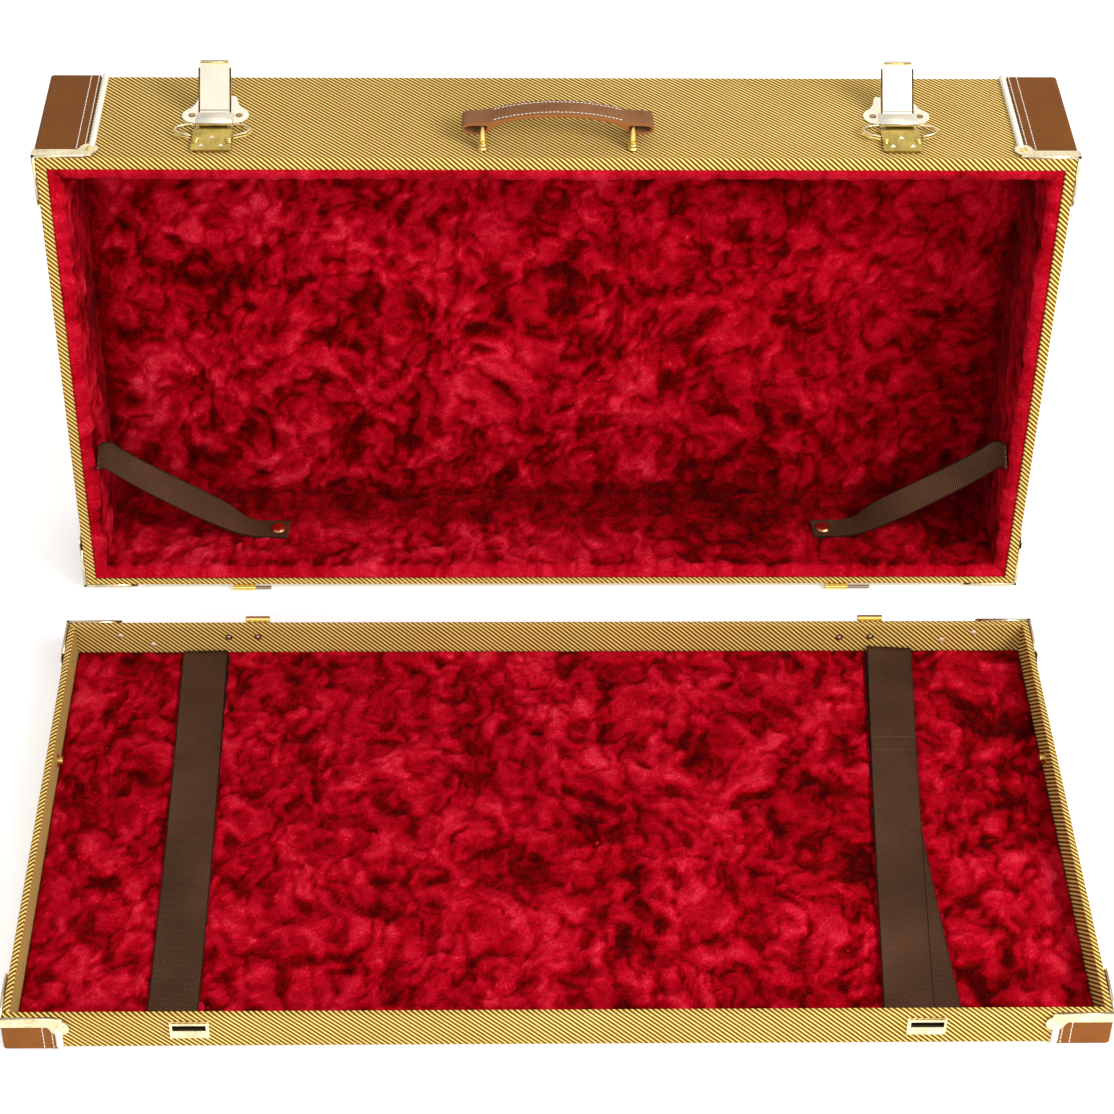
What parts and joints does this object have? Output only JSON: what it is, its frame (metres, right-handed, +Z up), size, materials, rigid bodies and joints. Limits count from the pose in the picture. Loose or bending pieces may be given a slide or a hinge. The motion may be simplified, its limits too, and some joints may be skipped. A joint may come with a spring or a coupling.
{
  "type": "two-part hard case",
  "caption": "Rectangular hard case in golden tweed: shallow strap tray and deep plush-lined cover on slip hinges, with draw latches, leather corners and a leather handle.",
  "frame": {"origin": "centre of the bounding box, at the level of the floor that the tray and the cover both stand on", "axes": "+X along the case's length towards its right side, +Y from the tray's front to the cover, +Z up"},
  "size_m": [0.909, 0.7137, 0.5308],
  "materials": {
    "tweed": "woven golden tweed over plywood",
    "plush": "crushed crimson pile",
    "corner_leather": "tan, grained, stitched",
    "handle_leather": "red-brown, smooth, stitched",
    "webbing": "dark brown ribbed webbing",
    "brass": "polished plate, lightly worn",
    "pale_brass": "pale gold plate, lightly worn",
    "copper": "polished copper snap cap",
    "steel": "brown-grey steel pin"
  },
  "bodies": {
    "tray": {"tray_front": "tweed", "tray_rear": "tweed", "tray_left": "tweed", "tray_right": "tweed", "tray_bottom": "tweed", "tray_pad": "plush", "tray_leather_front_left": "corner_leather", "tray_leather_front_right": "corner_leather", "tray_leather_rear_left": "corner_leather", "tray_leather_rear_right": "corner_leather", "tray_clamp_front_left": "brass", "tray_clamp_front_right": "brass", "tray_clamp_rear_left": "brass", "tray_clamp_rear_right": "brass", "tray_hinge_left": "brass", "tray_hinge_right": "brass", "catch_left": "pale_brass", "catch_right": "pale_brass", "snap_stud_left": "brass", "snap_stud_right": "brass", "strap_left": "webbing", "strap_right": "webbing", "strap_right_under": "webbing"},
    "hinge_bushes": {"hinge_bush_left": "brass", "hinge_bush_right": "brass"},
    "cover": {"cover_front": "tweed", "cover_hinge_wall": "tweed", "cover_left": "tweed", "cover_right": "tweed", "cover_back": "tweed", "cover_lining": "plush", "cover_leather_front_left": "corner_leather", "cover_leather_front_right": "corner_leather", "cover_leather_hinge_left": "corner_leather", "cover_leather_hinge_right": "corner_leather", "cover_clamp_front_left": "brass", "cover_clamp_front_right": "brass", "cover_clamp_hinge_left": "brass", "cover_clamp_hinge_right": "brass", "cover_hinge_left": "brass", "cover_hinge_right": "brass", "hinge_pin_left": "steel", "hinge_pin_right": "steel", "glide_left": "brass", "glide_right": "brass", "stay_left": "webbing", "stay_right": "webbing", "snap_cap_left": "copper", "snap_cap_right": "copper", "latch_base_left": "pale_brass", "latch_base_right": "pale_brass", "handle_staple_left": "brass", "handle_staple_right": "brass"},
    "lever_left": {"latch_lever_left": "pale_brass"},
    "spring_left": {"latch_spring_left": "brass"},
    "claw_left": {"latch_claw_left": "brass"},
    "lever_right": {"latch_lever_right": "pale_brass"},
    "spring_right": {"latch_spring_right": "brass"},
    "claw_right": {"latch_claw_right": "brass"},
    "handle": {"handle_strap": "handle_leather"}
  },
  "joints": [
    {"name": "cover_hinge", "type": "hinge", "parent": "tray", "child": "hinge_bushes", "pos_m": [-0.00165, 0.1316, 0.0383], "axis": [1, 0, 0], "range_deg": [0, 90]},
    {"name": "cover_lift_off", "type": "slide", "parent": "hinge_bushes", "child": "cover", "axis": [-0.035, -0.9256, 0.3768], "range_m": [0, 0.09421]},
    {"name": "latch_lever_left", "type": "hinge", "parent": "cover", "child": "lever_left", "pos_m": [-0.29785, 0.2831, 0.493], "axis": [-1, 0, 0], "range_deg": [-38, 48]},
    {"name": "latch_draw_left", "type": "slide", "parent": "cover", "child": "spring_left", "axis": [0, -1, 0], "range_m": [-0.002, 0.0215]},
    {"name": "claw_left", "type": "hinge", "parent": "spring_left", "child": "claw_left", "pos_m": [-0.29785, 0.2676, 0.492], "axis": [-1, 0, 0], "range_deg": [0, 20]},
    {"name": "latch_lever_right", "type": "hinge", "parent": "cover", "child": "lever_right", "pos_m": [0.30115, 0.2831, 0.493], "axis": [-1, 0, 0], "range_deg": [-38, 48]},
    {"name": "latch_draw_right", "type": "slide", "parent": "cover", "child": "spring_right", "axis": [0, -1, 0], "range_m": [-0.002, 0.0215]},
    {"name": "claw_right", "type": "hinge", "parent": "spring_right", "child": "claw_right", "pos_m": [0.30115, 0.2676, 0.492], "axis": [-1, 0, 0], "range_deg": [0, 20]},
    {"name": "handle_lift", "type": "slide", "parent": "cover", "child": "handle", "axis": [0, 0, 1], "range_m": [0, 0.0022]}
  ]
}
